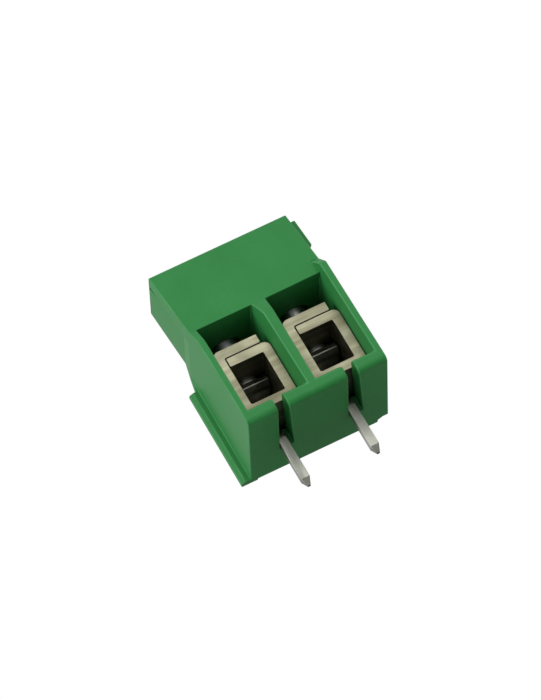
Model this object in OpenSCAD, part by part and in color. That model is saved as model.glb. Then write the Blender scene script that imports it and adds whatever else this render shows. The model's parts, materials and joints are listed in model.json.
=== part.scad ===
// Two-pole screw terminal block for circuit boards.
// A moulded housing holds one folded clamp cage, one captive screw and one
// solder contact per pole. Turning a screw clockwise draws its cage up, which
// presses the wire against the contact bar above it.
//
// Frame: the origin lies on the board surface, midway between the two solder
// pins. +X runs along the row of poles, +Y towards the back, +Z up.

/* [Housing] */
// Distance between neighbouring wire positions
pitch = 5.08; // [5.00:0.02:7.62]
// Depth of the housing, front edge to back face
body_d = 8.15; // [7.8:0.05:10]
// Height of the housing above the board
body_h = 14.4; // [13.4:0.1:18]
// Distance from the row of solder pins to the back face
pin_to_back = 3.07; // [2.9:0.01:3.3]
// Angle at which the upper front panel leans back
panel_lean = 18.9; // [14:0.1:20]
// Angle at which the partition walls lean back below the panel
wall_lean = 3.2; // [0:0.1:5]
// Drop of the walls' upper front corner below the pocket ceiling
wall_nose_drop = 1.4; // [0.6:0.1:1.8]
// Radius of that corner
wall_nose_r = 0.9; // [0.2:0.1:1.2]
// Height of the same corner above the ceiling at the end wall towards +X
end_nose_h = 0.15; // [0:0.05:0.4]
// Radius of the corner at that end wall
end_nose_r = 0.35; // [0.1:0.05:0.6]
// Height above the ceiling at which that end wall runs out into the panel
ramp_h = 1.2; // [0.8:0.05:1.5]
// Edge radius between the front and the underside
foot_r = 0.4; // [0.1:0.05:0.5]
// Small edge radius of the moulding
edge_r = 0.2; // [0.1:0.05:0.3]

/* [Wire pockets] */
// How far a pocket widens towards the front at the middle partition
flare_mid = 0.28; // [0.1:0.02:0.4]
// How far a pocket widens towards the front at an end wall
flare_end = 0.14; // [0.04:0.02:0.3]
// Height of the pocket floor above the board
floor_z = 1.25; // [1.1:0.05:1.4]
// Height of the front lip of the pocket floor
lip_z = 0.85; // [0.6:0.05:1.1]
// Depth of the slope that leads from the lip up to the floor
lip_d = 0.7; // [0.3:0.1:1.5]
// Gap between the closed cage and the pocket ceiling
ceiling_gap = 0.18; // [0.08:0.01:0.4]
// Set-back of the panel at the height of the ceiling
brow_setback = 1.36; // [1.2:0.02:1.5]
// Thickness of the back wall behind a pocket
back_wall = 0.8; // [0.6:0.05:1.0]
// Cut-off at the back corners of a pocket and of its cage
corner_cut = 1.0; // [0.6:0.05:1.2]

/* [Driver wells] */
// Radial clearance of the screw head in its well
well_play = 0.15; // [0.08:0.01:0.25]
// Distance of the screw axis behind the row of solder pins
screw_offset = 0.47; // [0.4:0.01:0.55]
// Thickness of the shelf under the screw heads
shelf_t = 1.2; // [0.9:0.1:1.5]
// Lead-in at the mouth of a well
well_chamfer = 0.15; // [0.05:0.05:0.25]

/* [Floor slots] */
// Gap beside the pin on the side towards -X
slot_play = 0.03; // [0.02:0.01:0.1]
// Gap beside the pin's width on the side towards +X, at the front
slot_spread = 0.11; // [0.03:0.01:0.3]
// The same gap at the back, beside the pin
slot_spread_back = 0.4; // [0.1:0.01:0.6]

/* [Side interlocks] */
// How far the tongue on the -X side stands out
tongue_h = 0.7; // [0.4:0.05:0.8]
// Thickness of the tongue at its root
tongue_t = 0.5; // [0.4:0.05:0.8]
// Thickness of the tongue at its tip
tongue_tip_t = 0.3; // [0.2:0.05:0.4]
// Length of the tongue before it tapers to its tip
tongue_step = 0.4; // [0.2:0.05:0.5]
// Height of the ramp above the tongue
tongue_ramp_h = 1.1; // [0.5:0.1:1.5]
// Thickness of the ramp where it meets the tongue
tongue_ramp_t = 0.2; // [0.1:0.02:0.3]
// Height of the tongue above the board
tongue_z = 7.5; // [5:0.1:8]
// Play of a tongue or key in the next block's notch or groove
interlock_play = 0.06; // [0.04:0.01:0.1]
// How far the inclined key on the +X side stands out
key_h = 0.6; // [0.3:0.02:0.62]
// Thickness of the key
key_t = 0.3; // [0.2:0.02:0.5]
// Lowest point of the key
key_low_z = 11.3; // [10:0.1:12]
// Height of the ramp at the lower end of the key
key_ramp_h = 0.5; // [0.2:0.05:1]
// Distance below the top at which the key and its groove end
key_top_gap = 0.15; // [0.1:0.05:0.8]
// Lowest point of the groove on the -X side
groove_low_z = 9.0; // [8.8:0.1:9.8]
// Distance of the key behind the panel, measured at the pocket ceiling
key_setback = 1.6; // [1.4:0.05:1.8]
// Angle at which the key leans back
key_lean = 14; // [10:0.5:18]
// Greatest depth of the dished relief behind the groove
relief_h = 0.28; // [0.05:0.01:0.3]
// Height of the deepest line of the relief
relief_mid_z = 9.9; // [9.5:0.1:10.5]
// Height of the lower edge of the relief
relief_low_z = 8.6; // [8:0.1:9]

/* [Clamp cage] */
// Thickness of the cage strip
cage_t = 0.68; // [0.6:0.02:0.75]
// Distance from the screw thread to the inner side walls of the cage
thread_margin = 0.23; // [0.15:0.01:0.3]
// Play of the cage between the walls of its pocket
cage_play = 0.06; // [0.03:0.01:0.1]
// Gap between the open cage and the floor of its pocket
cage_floor_gap = 0.2; // [0.1:0.01:0.4]
// Height of the wire window, strip bottom to threaded layers
window_h = 3.07; // [2.9:0.01:3.2]
// Set-back of the front edge of the cage behind the front of the housing
cage_setback = 1.95; // [1.8:0.05:2.2]
// Gap between the cage and the back of its pocket
cage_back_gap = 0.08; // [0.04:0.01:0.2]
// Height above the window's floor up to which the cage clears the leg
waist_h = 1.15; // [0.8:0.05:1.4]
// Gap between the cage's sloped back edge and the housing
slope_gap = 0.15; // [0.08:0.01:0.3]
// Inside bend radius of the strip
cage_bend_r = 0.12; // [0.1:0.01:0.15]
// Outside bend radius of the strip, pressed sharper than a free bend
cage_outer_r = 0.5; // [0.3:0.05:0.8]
// Edge radius at the sheared ends of the cage and contact strips
strip_end_r = 0.08; // [0.06:0.01:0.1]
// Seam between the two overlapping layers
seam = 0.06; // [0.02:0.01:0.08]
// Gap at the free end of the lower layer
lap_gap = 0.05; // [0.03:0.01:0.1]
// How far the upper layer stops short of the cage's outer side
upper_stop = 0.5; // [0.2:0.01:0.6]
// Travel of the cage from open to closed
rise = 1.6; // [1.3:0.05:1.8]

/* [Clamp screw] */
// Outer diameter of the screw thread
screw_d = 2.0; // [1.8:0.1:2.2]
// Diameter of the screw head
head_d = 3.3; // [3:0.05:3.4]
// Height of the screw head
head_h = 1.95; // [1.5:0.05:2.2]
// Width of the driver slot
slot_w = 0.6; // [0.4:0.05:0.8]
// Depth of the driver slot
slot_depth = 0.95; // [0.5:0.05:1.2]
// Radial clearance of the thread in the cage
thread_play = 0.03; // [0.02:0.01:0.04]
// Radial clearance of the screw in the shelf
shelf_play = 0.09; // [0.05:0.01:0.1]
// Play under the head and under the tip
axial_play = 0.05; // [0.03:0.01:0.1]
// Height of the turned point
point_h = 0.35; // [0.2:0.05:0.5]
// Diameter of the flat at the point
point_d = 1.3; // [0.8:0.05:1.5]
// Chamfer at the edges of the head
head_edge = 0.16; // [0.05:0.01:0.3]

/* [Solder contact] */
// Thickness of the contact strip, which is the pin's size front to back
contact_t = 0.58; // [0.5:0.02:0.64]
// Gap between the bar and the inner side walls of the cage
bar_play = 0.14; // [0.08:0.01:0.25]
// Width of the foot and the solder pin
pin_w = 0.63; // [0.5:0.01:0.64]
// Length of the pin below the board surface
pin_l = 3.45; // [2.5:0.05:5]
// Length of the tapered point of the pin
pin_point = 0.55; // [0.3:0.05:1]
// Width of the blunt tip of the pin
pin_tip_w = 0.2; // [0.1:0.02:0.3]
// Gap between the closed cage's window floor and the bar
closed_gap = 0.27; // [0.1:0.01:0.5]
// Set-back of the bar's front end behind the front of the cage
bar_setback = 2.2; // [0.5:0.1:2.4]
// Height by which the bar's front end turns up
bar_nose_h = 0.3; // [0.1:0.02:0.55]
// Angle of the bar's upturned front end
bar_lift = 34; // [20:1:40]
// Inside bend radius of the contact
contact_bend_r = 0.2; // [0.1:0.05:0.3]
// Distance from the row of solder pins back to the front of the leg
leg_offset = 0.83; // [0.7:0.01:0.9]
// Gap between the leg and the parts beside it
leg_gap = 0.06; // [0.04:0.01:0.1]

/* [Hidden] */

plastic = [0.20, 0.51, 0.28];
plated_steel = [0.60, 0.58, 0.50];
zinc = [0.72, 0.72, 0.70];
tin = [0.62, 0.62, 0.57];

round_fn = 64;
arc_steps = 8;
over = 0.5;
clear_over = 5;

poles = 2;
pole_x = [for (i = [0 : poles - 1]) (i - (poles - 1) / 2) * pitch];
body_w = poles * pitch;
back_y = pin_to_back;
front_y = back_y - body_d;
screw_y = screw_offset;

window_w = screw_d + 2 * thread_margin;
cage_w = window_w + 2 * cage_t;
pocket_w = cage_w + 2 * cage_play;
cage_z = floor_z + cage_floor_gap;
window_z = cage_z + cage_t;
window_top_z = window_z + window_h;
cage_top_z = window_top_z + 2 * cage_t + seam;
ceiling_z = cage_top_z + rise + ceiling_gap;
ramp_z = ceiling_z + ramp_h;
shelf_z = ceiling_z + shelf_t;
well_d = head_d + 2 * well_play;

pocket_back_y = back_y - back_wall;
brow_y = front_y + brow_setback;

strip_x = (cage_w - cage_t) / 2;
cage_front_y = front_y + cage_setback;
cage_back_y = pocket_back_y - cage_back_gap;
waist_z = window_z + waist_h;

bar_w = window_w - 2 * bar_play;
bar_z = window_z + rise + closed_gap;
bar_top_z = bar_z + contact_t;
foot_top_z = floor_z - leg_gap;
leg_back_y = leg_offset + contact_t;
step_y = leg_back_y + leg_gap;
cage_leg_y = leg_offset - leg_gap;

head_z = shelf_z + axial_play;
tip_z = bar_top_z + axial_play;
slot_turn = [28, -17];

// ---- outlines ----

function unit(v) = v / norm(v);

function left_of(d) = [-d.y, d.x];

function reversed(list) = [for (i = [len(list) - 1 : -1 : 0]) list[i]];

// Points of the rounded corner of radius r at b, between a and c
function corner(a, b, c, r) =
    let (
        u = unit(a - b),
        w = unit(c - b),
        half = acos(u * w) / 2,
        m = b + unit(u + w) * r / sin(half),
        from = b + u * r / tan(half) - m,
        to = b + w * r / tan(half) - m,
        start = atan2(from.y, from.x),
        turn = (atan2(to.y, to.x) - start + 540) % 360 - 180
    )
    [for (i = [0 : arc_steps]) m + r * [cos(start + turn * i / arc_steps),
                                        sin(start + turn * i / arc_steps)]];

// Closed outline through points [x, y, r], each corner rounded by its own r
function rounded(p) =
    let (n = len(p))
    [for (i = [0 : n - 1])
        let (a = p[(i + n - 1) % n], b = p[i], c = p[(i + 1) % n])
        each b.z <= 0 ? [[b.x, b.y]] : corner([a.x, a.y], [b.x, b.y], [c.x, c.y], b.z)];

// One side of a strip that follows the path p at the distance s from it
function strip_side(p, s, inner_r, outer_r, end_r) =
    let (last = len(p) - 1)
    [for (i = [0 : last])
        let (
            d1 = unit(i == 0 ? p[1] - p[0] : p[i] - p[i - 1]),
            d2 = unit(i == last ? p[i] - p[i - 1] : p[i + 1] - p[i]),
            shift = (left_of(d1) + left_of(d2)) / (1 + d1 * d2) * s,
            turn = cross(d1, d2) * s
        )
        [p[i].x + shift.x, p[i].y + shift.y,
         i == 0 || i == last ? end_r : turn > 0 ? inner_r : outer_r]];

// Outline of a strip of thickness t, folded along the path p, its ends' edges rounded
function folded_strip(p, t, inner_r, outer_r, end_r) =
    rounded(concat(strip_side(p, t / 2, inner_r, outer_r, end_r),
                   reversed(strip_side(p, -t / 2, inner_r, outer_r, end_r))));

// Panel surface: y at the height z
function panel_y(z) = brow_y + (z - ceiling_z) * tan(panel_lean);

// Front edge of the partition walls: y at the height z
function wall_y(z) = front_y + z * tan(wall_lean);

// Front edge of the inclined key: y at the height z
function key_y(z) = brow_y + key_setback + (z - ceiling_z) * tan(key_lean);

// Sloped back edge of the cage: z at the depth y, clamp open
function cage_slope_z(y) =
    waist_z + (y - cage_leg_y) * (window_top_z - waist_z) / (cage_back_y - cage_leg_y);

// ---- extrusions ----

// Outline in the Y-Z plane, extruded from x0 to x1
module along_x(x0, x1)
    translate([x0, 0, 0])
        rotate([90, 0, 90])
            linear_extrude(height = x1 - x0)
                children();

// Outline in the X-Z plane, extruded from y0 to y1
module along_y(y0, y1)
    translate([0, y1, 0])
        rotate([90, 0, 0])
            linear_extrude(height = y1 - y0)
                children();

// Outline in the X-Y plane, extruded from z0 to z1
module along_z(z0, z1)
    translate([0, 0, z0])
        linear_extrude(height = z1 - z0)
            children();

// ---- housing ----

// Side view of the moulding: leaning walls up to the corner at nose_z, a ramp
// that meets the leaning panel at meet_z, flat top
module body_outline(nose_z, nose_r, meet_z)
    polygon(rounded([
        [front_y, 0, foot_r],
        [wall_y(nose_z), nose_z, nose_r],
        [panel_y(meet_z), meet_z, 0],
        [panel_y(body_h), body_h, edge_r],
        [back_y, body_h, edge_r],
        [back_y, 0, edge_r]
    ]));

// Side view of what a wire pocket clears, with the panel kept whole above it
module pocket_outline()
    polygon([
        [front_y - clear_over, lip_z],
        [front_y, lip_z],
        [front_y + lip_d, floor_z],
        [step_y, floor_z],
        [step_y, cage_slope_z(step_y) - slope_gap],
        [pocket_back_y, cage_slope_z(pocket_back_y) - slope_gap],
        [pocket_back_y, ceiling_z],
        [brow_y, ceiling_z],
        [panel_y(ramp_z + over), ramp_z + over],
        [front_y - clear_over, ramp_z + over]
    ]);

// Plan of a pocket: flared at the front, corners cut off at the back
module pocket_plan(flare_l, flare_r) {
    half = pocket_w / 2;
    polygon([
        [-half - flare_l, front_y - clear_over],
        [-half - flare_l, wall_y(0)],
        [-half, cage_front_y],
        [-half, pocket_back_y - corner_cut],
        [-half + corner_cut, pocket_back_y],
        [half - corner_cut, pocket_back_y],
        [half, pocket_back_y - corner_cut],
        [half, cage_front_y],
        [half + flare_r, wall_y(0)],
        [half + flare_r, front_y - clear_over]
    ]);
}

module pocket(i)
    intersection() {
        along_x(-pitch, pitch) pocket_outline();
        along_z(0, body_h)
            pocket_plan(i == 0 ? flare_end : flare_mid, i == poles - 1 ? flare_end : flare_mid);
    }

// Slot in the floor, open at the front, that the pin slides along
module floor_slot() {
    half = pin_w / 2;
    slot_end_y = contact_t / 2 + 2 * leg_gap;
    along_z(-over, floor_z + over)
        polygon([
            [-half - slot_play, front_y - over],
            [half + slot_spread, front_y - over],
            [half + slot_spread_back, slot_end_y],
            [-half - slot_play, slot_end_y]
        ]);
    along_z(foot_top_z - contact_t - leg_gap, floor_z + over)
        polygon([
            [-half - slot_play, 0],
            [half + slot_play, 0],
            [half + slot_play, step_y],
            [-half - slot_play, step_y]
        ]);
}

// Well for the driver and hole for the screw, both on the screw axis
module screw_well()
    translate([0, screw_y, 0]) {
        translate([0, 0, shelf_z])
            cylinder(d = well_d, h = body_h, $fn = round_fn);
        translate([0, 0, ceiling_z - over])
            cylinder(r = screw_d / 2 + shelf_play, h = shelf_t + 2 * over, $fn = round_fn);
        translate([0, 0, body_h - well_chamfer])
            cylinder(d1 = well_d, d2 = well_d + 4 * well_chamfer, h = 2 * well_chamfer,
                     $fn = round_fn);
    }

// Tongue from its root at x = 0 towards -X, with the ramp above it
module tongue(grow) {
    back = back_y + (grow > 0 ? over : 0);
    root_y = back_y - tongue_t - grow;
    top_z = tongue_z + grow;
    along_z(grow > 0 ? -over : 0, top_z)
        polygon([
            [over, root_y],
            [-tongue_step, root_y],
            [-tongue_h - grow, back_y - tongue_tip_t - grow],
            [-tongue_h - grow, back],
            [over, back]
        ]);
    along_y(root_y, back)
        polygon([
            [over, top_z - over],
            [-tongue_ramp_t - grow, top_z - over],
            [-tongue_ramp_t - grow, top_z],
            [-grow, top_z + tongue_ramp_h],
            [over, top_z + tongue_ramp_h]
        ]);
}

// Side view of the inclined key, or of the groove for it
module key_outline(z0, z1, grow)
    polygon([
        [key_y(z0) - grow, z0],
        [key_y(z0) + key_t + grow, z0],
        [key_y(z1) + key_t + grow, z1],
        [key_y(z1) - grow, z1]
    ]);

// Inclined key from its root at x = 0 towards +X, ramped at its lower end
module key(z1)
    intersection() {
        along_x(-over, key_h) key_outline(key_low_z, z1, 0);
        along_y(front_y, back_y)
            polygon([
                [-over, key_low_z],
                [0, key_low_z],
                [key_h, key_low_z + key_ramp_h],
                [key_h, z1],
                [-over, z1]
            ]);
    }

// Dished relief behind the groove, from the face at x = 0 towards +X
module relief(z1)
    intersection() {
        along_x(-over, relief_h)
            polygon([
                [key_y(relief_low_z), relief_low_z],
                [back_y + over, relief_low_z],
                [back_y + over, z1],
                [key_y(z1), z1]
            ]);
        along_y(front_y, back_y + over)
            polygon([
                [-over, relief_low_z],
                [0, relief_low_z],
                [relief_h, relief_mid_z],
                [0, z1],
                [-over, z1]
            ]);
    }

module housing() {
    left = -body_w / 2;
    right = body_w / 2;
    end_wall = (pitch - pocket_w) / 2;
    key_top_z = body_h - key_top_gap;
    color(plastic)
    difference() {
        union() {
            along_x(left, right)
                body_outline(ceiling_z - wall_nose_drop, wall_nose_r, ceiling_z);
            along_x(right - end_wall, right)
                body_outline(ceiling_z + end_nose_h, end_nose_r, ramp_z);
            translate([left, 0, 0]) tongue(0);
            translate([right, 0, 0]) key(key_top_z);
        }
        for (i = [0 : poles - 1])
            translate([pole_x[i], 0, 0]) {
                pocket(i);
                floor_slot();
                screw_well();
            }
        translate([right, 0, 0]) tongue(interlock_play);
        along_x(left - over, left + key_h + interlock_play)
            key_outline(groove_low_z, key_top_z + interlock_play, interlock_play);
        translate([left, 0, 0]) relief(key_top_z + interlock_play);
    }
}

// ---- clamp cage: one strip folded into a ring, its ends overlapping ----

module cage_outline() {
    bottom = cage_z + cage_t / 2;
    lower = window_top_z + cage_t / 2;
    upper = lower + cage_t + seam;
    polygon(folded_strip([
        [cage_w / 2 - upper_stop, upper],
        [-strip_x, upper],
        [-strip_x, bottom],
        [strip_x, bottom],
        [strip_x, lower],
        [-window_w / 2 + lap_gap, lower]
    ], cage_t, cage_bend_r, cage_outer_r, strip_end_r));
}

// Side view: the layers reach to the back, the bottom stops before the leg
module cage_side()
    polygon([
        [cage_front_y, 0],
        [cage_leg_y, 0],
        [cage_leg_y, waist_z],
        [cage_back_y, window_top_z],
        [cage_back_y, body_h],
        [cage_front_y, body_h]
    ]);

// Plan: the back corners are cut off like those of the pocket
module cage_plan() {
    half = cage_w / 2;
    polygon([
        [-half - over, front_y],
        [-half - over, cage_back_y - corner_cut - over],
        [-half + corner_cut, cage_back_y],
        [half - corner_cut, cage_back_y],
        [half + over, cage_back_y - corner_cut - over],
        [half + over, front_y]
    ]);
}

module clamp_cage(i)
    color(plated_steel)
    translate([pole_x[i], 0, 0])
    difference() {
        intersection() {
            along_y(cage_front_y, cage_back_y) cage_outline();
            along_x(-cage_w, cage_w) cage_side();
            along_z(0, body_h) cage_plan();
        }
        translate([0, screw_y, window_top_z - over])
            cylinder(r = screw_d / 2 + thread_play, h = 2 * cage_t + 2 * over, $fn = round_fn);
    }

// ---- clamp screw ----

module screw_outline() {
    r = screw_d / 2;
    polygon([
        [0, tip_z],
        [point_d / 2, tip_z],
        [r, tip_z + point_h],
        [r, head_z],
        [head_d / 2 - head_edge, head_z],
        [head_d / 2, head_z + head_edge],
        [head_d / 2, head_z + head_h - head_edge],
        [head_d / 2 - head_edge, head_z + head_h],
        [0, head_z + head_h]
    ]);
}

module clamp_screw(i)
    color(zinc)
    translate([pole_x[i], screw_y, 0])
    difference() {
        rotate_extrude($fn = round_fn) screw_outline();
        rotate([0, 0, slot_turn[i]])
            translate([-head_d, -slot_w / 2, head_z + head_h - slot_depth])
                cube([2 * head_d, slot_w, head_h]);
    }

// ---- solder contact: bar, leg, foot and pin, folded from one strip ----

module contact_side() {
    bar = bar_z + contact_t / 2;
    leg = leg_back_y - contact_t / 2;
    foot = foot_top_z - contact_t / 2;
    nose_y = cage_front_y + bar_setback;
    polygon(folded_strip([
        [nose_y, bar + bar_nose_h],
        [nose_y + bar_nose_h / tan(bar_lift), bar],
        [leg, bar],
        [leg, foot],
        [0, foot],
        [0, -pin_l]
    ], contact_t, contact_bend_r, contact_bend_r + contact_t, strip_end_r));
}

// Front view: wide above the floor, pin width below it, pointed at the end
module contact_front() {
    wide = bar_w / 2;
    narrow = pin_w / 2;
    shoulder = floor_z + axial_play;
    polygon([
        [-wide, window_top_z],
        [-wide, shoulder],
        [-narrow, shoulder],
        [-narrow, -pin_l + pin_point],
        [-pin_tip_w / 2, -pin_l],
        [pin_tip_w / 2, -pin_l],
        [narrow, -pin_l + pin_point],
        [narrow, shoulder],
        [wide, shoulder],
        [wide, window_top_z]
    ]);
}

// Side view of the pin's point, with everything above it kept
module pin_point_side() {
    half = contact_t / 2;
    polygon([
        [-pin_tip_w / 2, -pin_l],
        [pin_tip_w / 2, -pin_l],
        [half, -pin_l + pin_point],
        [body_d, -pin_l + pin_point],
        [body_d, body_h],
        [-body_d, body_h],
        [-body_d, -pin_l + pin_point],
        [-half, -pin_l + pin_point]
    ]);
}

module contact(i)
    color(tin)
    translate([pole_x[i], 0, 0])
    intersection() {
        along_x(-bar_w, bar_w) contact_side();
        along_y(front_y, back_y) contact_front();
        along_x(-bar_w, bar_w) pin_point_side();
    }

housing();
clamp_cage(0);  // clamp_cage_1
clamp_cage(1);  // clamp_cage_2
clamp_screw(0);  // clamp_screw_1
clamp_screw(1);  // clamp_screw_2
contact(0);  // contact_1
contact(1);  // contact_2
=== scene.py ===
"""Looks of the two-pole screw terminal: moulded green housing, plated clamp cages,
slotted screws and tinned solder contacts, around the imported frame."""

import json
import math

import bmesh
import bpy
from mathutils import Matrix, Vector, geometry
from mathutils.bvhtree import BVHTree

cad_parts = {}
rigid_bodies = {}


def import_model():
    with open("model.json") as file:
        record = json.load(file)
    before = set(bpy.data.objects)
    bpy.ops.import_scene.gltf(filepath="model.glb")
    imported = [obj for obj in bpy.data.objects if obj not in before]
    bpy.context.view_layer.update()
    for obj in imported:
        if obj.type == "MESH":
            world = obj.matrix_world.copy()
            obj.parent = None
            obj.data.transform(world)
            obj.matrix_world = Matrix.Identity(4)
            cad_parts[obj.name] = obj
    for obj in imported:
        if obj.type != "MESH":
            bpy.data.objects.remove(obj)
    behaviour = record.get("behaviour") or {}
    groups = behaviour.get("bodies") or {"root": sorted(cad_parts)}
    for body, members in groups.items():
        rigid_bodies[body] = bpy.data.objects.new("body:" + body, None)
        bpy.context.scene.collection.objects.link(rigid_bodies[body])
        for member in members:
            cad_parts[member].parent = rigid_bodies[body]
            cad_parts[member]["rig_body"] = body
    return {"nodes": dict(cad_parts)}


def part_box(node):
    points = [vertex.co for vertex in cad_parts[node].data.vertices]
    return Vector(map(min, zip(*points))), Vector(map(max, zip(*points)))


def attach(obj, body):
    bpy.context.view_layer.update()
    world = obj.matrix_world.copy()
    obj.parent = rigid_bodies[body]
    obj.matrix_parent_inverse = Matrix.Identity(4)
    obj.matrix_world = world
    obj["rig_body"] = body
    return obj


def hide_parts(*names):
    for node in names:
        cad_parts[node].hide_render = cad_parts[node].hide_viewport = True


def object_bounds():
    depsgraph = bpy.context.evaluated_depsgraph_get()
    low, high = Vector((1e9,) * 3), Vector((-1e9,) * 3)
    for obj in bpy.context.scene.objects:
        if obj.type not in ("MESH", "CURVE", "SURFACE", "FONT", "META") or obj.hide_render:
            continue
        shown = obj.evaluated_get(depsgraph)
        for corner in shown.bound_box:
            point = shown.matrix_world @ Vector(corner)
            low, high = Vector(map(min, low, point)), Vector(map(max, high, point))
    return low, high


MM = 0.001
POLES = (1, 2)

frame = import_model()
cad_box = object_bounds()
scene = bpy.context.scene


# ---- camera: the photograph's place, below and in front of the block ----

CAMERA_PLACE = Vector((-0.08874, -0.37387, -0.17941))
CAMERA_RIGHT = Vector((0.88575, 0.02077, -0.46371))
CAMERA_UP = Vector((0.41515, -0.48231, 0.77138))
CAMERA_LENS = 335.2
SENSOR = 36.0


def make_camera():
    data = bpy.data.cameras.new("camera")
    data.lens = CAMERA_LENS
    data.sensor_width = SENSOR
    data.clip_start, data.clip_end = 0.01, 10.0
    camera = bpy.data.objects.new("camera", data)
    scene.collection.objects.link(camera)
    right = CAMERA_RIGHT.normalized()
    back = right.cross(CAMERA_UP).normalized()
    up = back.cross(right)
    turn = Matrix((right, up, back)).transposed()
    camera.matrix_world = Matrix.Translation(CAMERA_PLACE) @ turn.to_4x4()
    scene.camera = camera


make_camera()


# ---- node helpers ----


class Nodes:
    """The node tree of one material, with short calls to add and join its nodes."""

    def __init__(self, name):
        self.material = bpy.data.materials.new(name)
        self.material.use_nodes = True
        self.tree = self.material.node_tree
        self.tree.nodes.clear()
        self.output = self.tree.nodes.new("ShaderNodeOutputMaterial")

    def add(self, kind, values=(), **settings):
        node = self.tree.nodes.new("ShaderNode" + kind)
        for key, value in settings.items():
            setattr(node, key, value)
        for key, value in dict(values).items():
            node.inputs[key].default_value = value
        return node

    def join(self, source, target):
        self.tree.links.new(source, target)
        return source

    def place(self, scale=(1, 1, 1)):
        """Object coordinates, stretched by scale."""
        coordinates = self.add("TexCoord").outputs["Object"]
        mapping = self.add("Mapping", {"Scale": scale})
        self.join(coordinates, mapping.inputs["Vector"])
        return mapping.outputs["Vector"]

    def noise(self, scale, detail=3.0, roughness=0.5, stretch=(1, 1, 1)):
        node = self.add("TexNoise", {"Scale": scale, "Detail": detail, "Roughness": roughness})
        self.join(self.place(stretch), node.inputs["Vector"])
        return node.outputs["Fac"]

    def remap(self, value, from_low, from_high, to_low, to_high):
        node = self.add("MapRange", {1: from_low, 2: from_high, 3: to_low, 4: to_high})
        self.join(value, node.inputs[0])
        return node.outputs[0]

    def mix(self, factor, first, second, blend="MIX"):
        node = self.add("Mix", data_type="RGBA", blend_type=blend)
        for value, socket in ((factor, node.inputs[0]), (first, node.inputs[6]),
                              (second, node.inputs[7])):
            if isinstance(value, bpy.types.NodeSocket):
                self.join(value, socket)
            else:
                socket.default_value = value
        return node.outputs[2]

    def edge_sheen_and_wear(self, scale, most):
        """How much an edge is lightened, from the attribute "edge" and a patchy noise: a painted
        highlight that stands in for sheen, and on the plated metals partly real rubbed wear.
        """
        edge = self.add("Attribute", attribute_name="edge").outputs["Fac"]
        patches = self.remap(self.noise(scale, 3.0), 0.4, 0.65, 0.25, most)
        node = self.add("Math", operation="MULTIPLY")
        self.join(edge, node.inputs[0])
        self.join(patches, node.inputs[1])
        return node.outputs[0]

    def bump(self, height, strength, distance, base=None):
        node = self.add("Bump", {"Strength": strength, "Distance": distance})
        self.join(height, node.inputs["Height"])
        if base is not None:
            self.join(base, node.inputs["Normal"])
        return node.outputs["Normal"]


def linear(red, green, blue):
    """A colour given as it looks on the screen, 0 to 255, in the renderer's linear values."""

    def channel(value):
        share = value / 255
        return share / 12.92 if share <= 0.04045 else ((share + 0.055) / 1.055) ** 2.4

    return (channel(red), channel(green), channel(blue), 1.0)


def plastic():
    """Satin green polyamide: fine moulded grain, faint flow clouds, and paler edges painted as a
    highlight that stands in for sheen.
    """
    n = Nodes("green_polyamide")
    shader = n.add("BsdfPrincipled", {"IOR": 1.5, "Specular IOR Level": 0.22})
    clouds = n.noise(320, 4.0, 0.55, (1, 1, 0.6))
    fine = n.noise(5200, 2.0)
    body = n.mix(n.remap(clouds, 0.35, 0.68, 0, 1), linear(40, 121, 58), linear(48, 129, 66))
    speckled = n.mix(n.remap(fine, 0.3, 0.75, 0, 0.35), body, linear(36, 112, 54))
    # Painted highlight: the rounded edges are lightened towards pale green linear(84, 158, 100)
    # as a sheen.
    sheen_and_rubbing = n.edge_sheen_and_wear(700, 0.55)
    n.join(n.mix(sheen_and_rubbing, speckled, linear(84, 158, 100)), shader.inputs["Base Color"])
    n.join(n.remap(clouds, 0.3, 0.7, 0.5, 0.6), shader.inputs["Roughness"])
    n.join(n.bump(fine, 0.3, 0.006 * MM, n.bump(clouds, 0.3, 0.03 * MM)), shader.inputs["Normal"])
    n.join(shader.outputs[0], n.output.inputs["Surface"])
    return n.material


def plated(name, dark, light, edge, rough, stretch):
    """Plated sheet steel: rolling lines along one way, cloudy tarnish, bright edges that are
    partly rubbed plating and partly a painted highlight.
    """
    n = Nodes(name)
    shader = n.add("BsdfPrincipled", {"Metallic": 1.0})
    lines = n.noise(1500, 3.0, 0.6, stretch)
    cloud = n.noise(520, 4.0)
    tone = n.mix(n.remap(lines, 0.35, 0.65, 0, 1), dark, light)
    stained = n.mix(n.remap(cloud, 0.5, 0.75, 0, 0.5), tone, dark)
    # Edges lightened towards the edge colour: partly rubbed plating, partly painted highlight.
    sheen_and_rubbing = n.edge_sheen_and_wear(900, 0.8)
    n.join(n.mix(sheen_and_rubbing, stained, edge), shader.inputs["Base Color"])
    n.join(n.remap(cloud, 0.3, 0.7, rough, rough + 0.14), shader.inputs["Roughness"])
    n.join(n.bump(lines, 0.4, 0.008 * MM), shader.inputs["Normal"])
    n.join(shader.outputs[0], n.output.inputs["Surface"])
    return n.material


GREEN = plastic()
# For each plated metal the third colour is its edge colour: partly rubbed plating, partly a
# painted highlight along the rounded edges.
CAGE = plated("nickel_plated_steel", linear(106, 104, 84), linear(140, 139, 117),
              linear(168, 160, 144), 0.4, (0.08, 1, 1))
SCREW = plated("zinc_plated_steel", linear(136, 138, 138), linear(176, 178, 176),
               linear(205, 206, 204), 0.3, (1, 1, 0.25))
TIN = plated("tinned_strip", linear(112, 114, 106), linear(148, 148, 140),
             linear(168, 168, 162), 0.36, (1, 1, 0.08))


# ---- pieces made from the CAD meshes, with rounded edges ----

FLAT_ANGLE = math.radians(0.5)
SHARP_ANGLE = math.radians(28)
ARC_STEP = 0.22 * MM
SAME_PLACE = 0.001 * MM
MOST_OFF = 0.6
MOST_TRIES = 12


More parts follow.
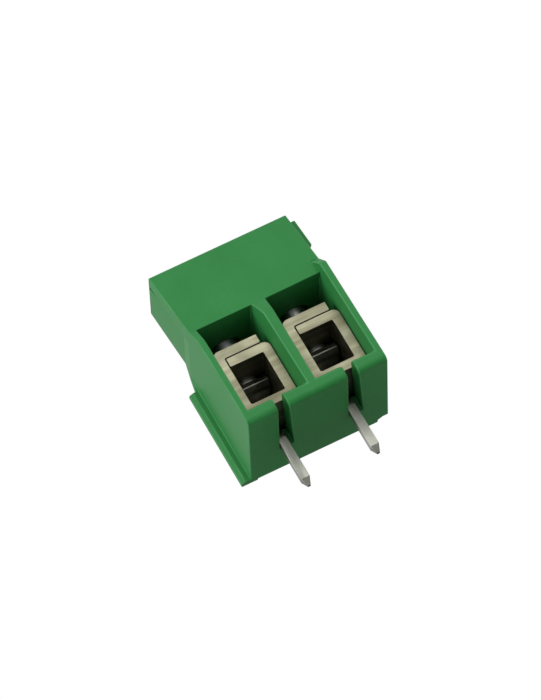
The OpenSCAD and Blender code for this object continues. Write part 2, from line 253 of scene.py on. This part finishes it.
def flat_copy(node):
    """The CAD node's mesh with its flat faces joined."""
    bm = bmesh.new()
    bm.from_mesh(frame["nodes"][node].data)
    bmesh.ops.remove_doubles(bm, verts=bm.verts, dist=0.0005 * MM)
    bmesh.ops.dissolve_limit(bm, angle_limit=FLAT_ANGLE, verts=bm.verts, edges=bm.edges)
    return bm


def smooth_arcs(bm):
    """Smooth shading for the narrow faces of arcs only, so that flat faces stay flat."""
    for face in bm.faces:
        longest = max(edge.calc_length() for edge in face.edges)
        bent = any(len(edge.link_faces) == 2
                   and FLAT_ANGLE < edge.calc_face_angle(0) < SHARP_ANGLE
                   for edge in face.edges)
        face.smooth = bent and face.calc_area() / longest < ARC_STEP


def distance_to_edge(spot, ends):
    """How far spot is from the edge's line, and how much longer the way past it is."""
    first, last = ends
    foot = geometry.intersect_point_line(spot, first, last)[0]
    detour = (first - spot).length + (last - spot).length - (first - last).length
    return (foot - spot).length + max(detour, 0)


def rounded(node, width, segments):
    """The CAD node's mesh with its sharp edges rounded. The new faces are smooth, and their
    corners carry 1 in the attribute "edge". An edge stays sharp where its rounding has no
    room and would stand off the CAD surface."""
    kept_sharp = []
    for attempt in range(MOST_TRIES):
        bm = flat_copy(node)
        surface = BVHTree.FromBMesh(bm)
        mark = bm.loops.layers.float.new("edge")
        smooth_arcs(bm)
        sharp = []
        for edge in bm.edges:
            if len(edge.link_faces) == 2 and edge.calc_face_angle(0) > SHARP_ANGLE:
                middle = (edge.verts[0].co + edge.verts[1].co) / 2
                if all((middle - other).length > SAME_PLACE for other in kept_sharp):
                    sharp.append(edge)
        ends = [(edge.verts[0].co.copy(), edge.verts[1].co.copy()) for edge in sharp]
        made = bmesh.ops.bevel(bm, geom=sharp, offset=width, offset_type="OFFSET", profile=0.5,
                               segments=segments, affect="EDGES", clamp_overlap=False)
        off = [vert.co.copy() for vert in bm.verts
               if surface.find_nearest(vert.co)[3] > MOST_OFF * width]
        if not off:
            break
        for spot in off:
            nearest = min(ends, key=lambda pair: distance_to_edge(spot, pair))
            kept_sharp.append((nearest[0] + nearest[1]) / 2)
    for face in made["faces"]:
        face.smooth = True
        for loop in face.loops:
            loop[mark] = 1.0
    return bm


def placed(bm, name, material, body, node):
    """The mesh as an object that rides on its body in place of the CAD node."""
    mesh = bpy.data.meshes.new(name)
    bm.to_mesh(mesh)
    bm.free()
    mesh.materials.append(material)
    piece = bpy.data.objects.new(name, mesh)
    scene.collection.objects.link(piece)
    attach(piece, body)
    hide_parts(node)
    return piece


def dressed(node, name, material, width, segments=3):
    """A copy of a CAD node with small roundings at its sharp edges, in place of the node."""
    bm = rounded(node, width, segments)
    return placed(bm, name, material, frame["nodes"][node]["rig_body"], node)


dressed("housing", "housing_moulding", GREEN, 0.06 * MM)
for i in POLES:
    dressed(f"clamp_cage_{i}", f"cage_{i}_folded", CAGE, 0.035 * MM)
    dressed(f"clamp_screw_{i}", f"screw_{i}_turned", SCREW, 0.04 * MM)
    dressed(f"contact_{i}", f"contact_{i}_folded", TIN, 0.03 * MM)


# ---- floor, background and lamps ----

FLOOR_HALF = 1.5
SKY_LIGHT = 0.45


def floor():
    """A pale floor at the pins' tips, seen from above only, so that it never hides the block."""
    lowest = min(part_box(f"contact_{i}")[0].z for i in POLES)
    mesh = bpy.data.meshes.new("floor")
    half = FLOOR_HALF
    mesh.from_pydata([(-half, -half, lowest), (half, -half, lowest), (half, half, lowest),
                      (-half, half, lowest)], [], [(0, 1, 2, 3)])
    n = Nodes("pale_floor")
    pale = n.add("BsdfDiffuse", {"Color": (0.82, 0.82, 0.82, 1)})
    clear = n.add("BsdfTransparent")
    mixed = n.add("MixShader")
    below = n.add("NewGeometry").outputs["Backfacing"]
    shade = n.add("LightPath").outputs["Is Shadow Ray"]
    either = n.add("Math", operation="MAXIMUM")
    n.join(below, either.inputs[0])
    n.join(shade, either.inputs[1])
    n.join(either.outputs[0], mixed.inputs[0])
    n.join(pale.outputs[0], mixed.inputs[1])
    n.join(clear.outputs[0], mixed.inputs[2])
    n.join(mixed.outputs[0], n.output.inputs["Surface"])
    mesh.materials.append(n.material)
    piece = bpy.data.objects.new("floor", mesh)
    scene.collection.objects.link(piece)


def background():
    """White where the camera, a reflection or a refraction sees it, and soft grey as a light."""
    world = bpy.data.worlds.new("studio")
    scene.world = world
    world.use_nodes = True
    tree = world.node_tree
    tree.nodes.clear()
    output = tree.nodes.new("ShaderNodeOutputWorld")
    sky = tree.nodes.new("ShaderNodeBackground")
    path = tree.nodes.new("ShaderNodeLightPath")
    seen = path.outputs["Is Camera Ray"]
    for kind in ("Is Glossy Ray", "Is Transmission Ray"):
        either = tree.nodes.new("ShaderNodeMath")
        either.operation = "MAXIMUM"
        tree.links.new(seen, either.inputs[0])
        tree.links.new(path.outputs[kind], either.inputs[1])
        seen = either.outputs[0]
    strength = tree.nodes.new("ShaderNodeMapRange")
    strength.inputs[3].default_value = SKY_LIGHT
    strength.inputs[4].default_value = 1.0
    tree.links.new(seen, strength.inputs[0])
    sky.inputs["Color"].default_value = (1, 1, 1, 1)
    tree.links.new(strength.outputs[0], sky.inputs["Strength"])
    tree.links.new(sky.outputs[0], output.inputs["Surface"])


def lamp(name, direction, distance, size, power):
    """A square soft light that faces the middle of the block from the given direction."""
    data = bpy.data.lights.new(name, "AREA")
    data.shape = "SQUARE"
    data.size = size
    data.energy = power
    piece = bpy.data.objects.new(name, data)
    scene.collection.objects.link(piece)
    middle = (cad_box[0] + cad_box[1]) / 2
    away = Vector(direction).normalized()
    piece.location = middle + away * distance
    piece.rotation_mode = "QUATERNION"
    piece.rotation_quaternion = away.to_track_quat("Z", "Y")


floor()
background()
lamp("left", (-0.9, -0.5, 0.2), 0.6, 0.3, 2.0)
lamp("front", (0.15, -1.0, 0.35), 0.7, 0.4, 1.6)

scene.view_settings.view_transform = "Standard"
